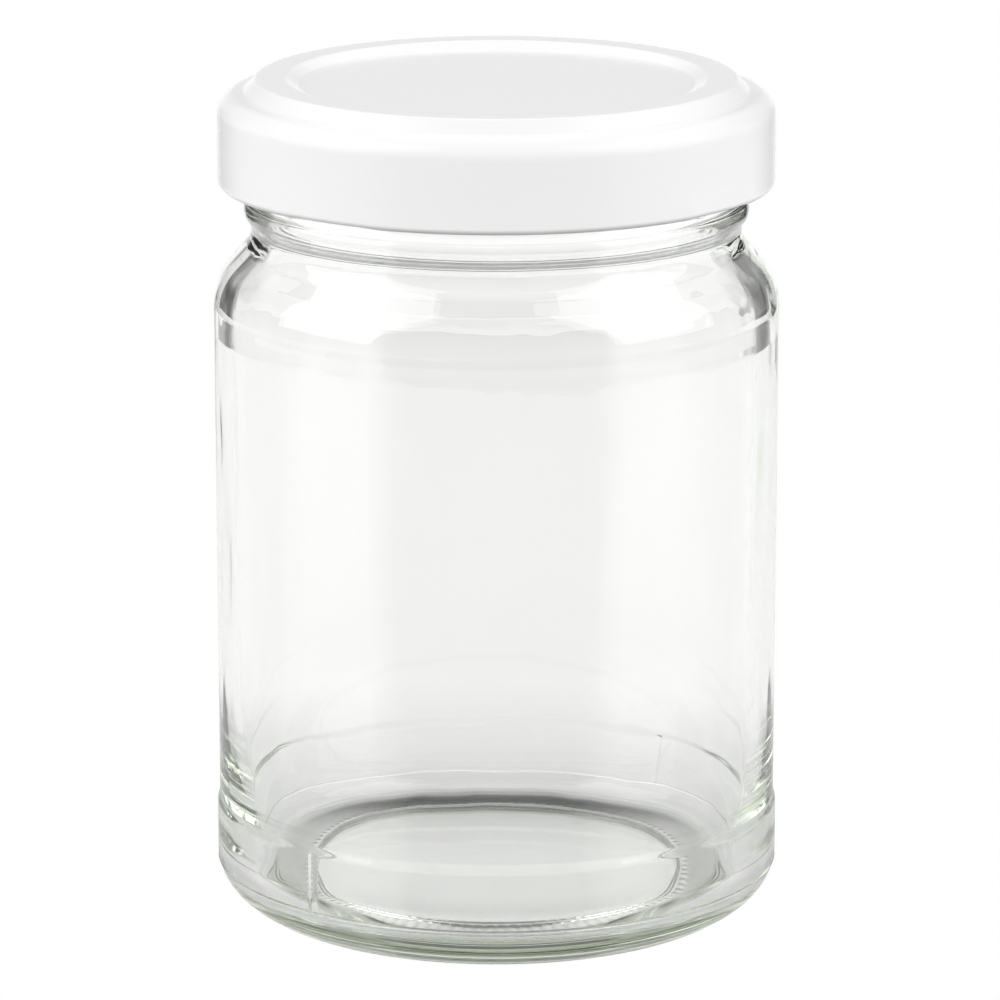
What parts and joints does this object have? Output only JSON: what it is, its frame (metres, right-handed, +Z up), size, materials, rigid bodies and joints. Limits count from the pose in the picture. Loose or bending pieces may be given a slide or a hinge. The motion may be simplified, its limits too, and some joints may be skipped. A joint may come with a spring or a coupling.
{
  "type": "preserving jar",
  "caption": "Round clear glass preserving jar with a recessed label panel, a sloped shoulder and a screw-on metal lid with a sealing ring.",
  "frame": {"origin": "middle of the base, at the level that the jar stands on", "axes": "+Z up along the jar's axis, -Y towards the pictured front, +X to its right"},
  "size_m": [0.0716, 0.0716, 0.1076],
  "materials": {
    "glass": "clear soda-lime glass with a faint green tint where it is thick",
    "lacquered_tinplate": "gloss white lacquer on thin tinplate",
    "sealing_compound": "smooth matt off-white compound"
  },
  "bodies": {
    "jar": {"glass_jar": "glass"},
    "seal": {"lid_seal": "sealing_compound"},
    "lid": {"lid_shell": "lacquered_tinplate"}
  },
  "joints": [
    {"name": "lid_lift", "type": "slide", "parent": "jar", "child": "seal", "axis": [0, 0, 1], "range_m": [0, 0.03]},
    {"name": "lid_twist", "type": "hinge", "parent": "seal", "child": "lid", "pos_m": [0, 0, 0.1], "axis": [0, 0, 1], "range_deg": [-48, 0]}
  ]
}
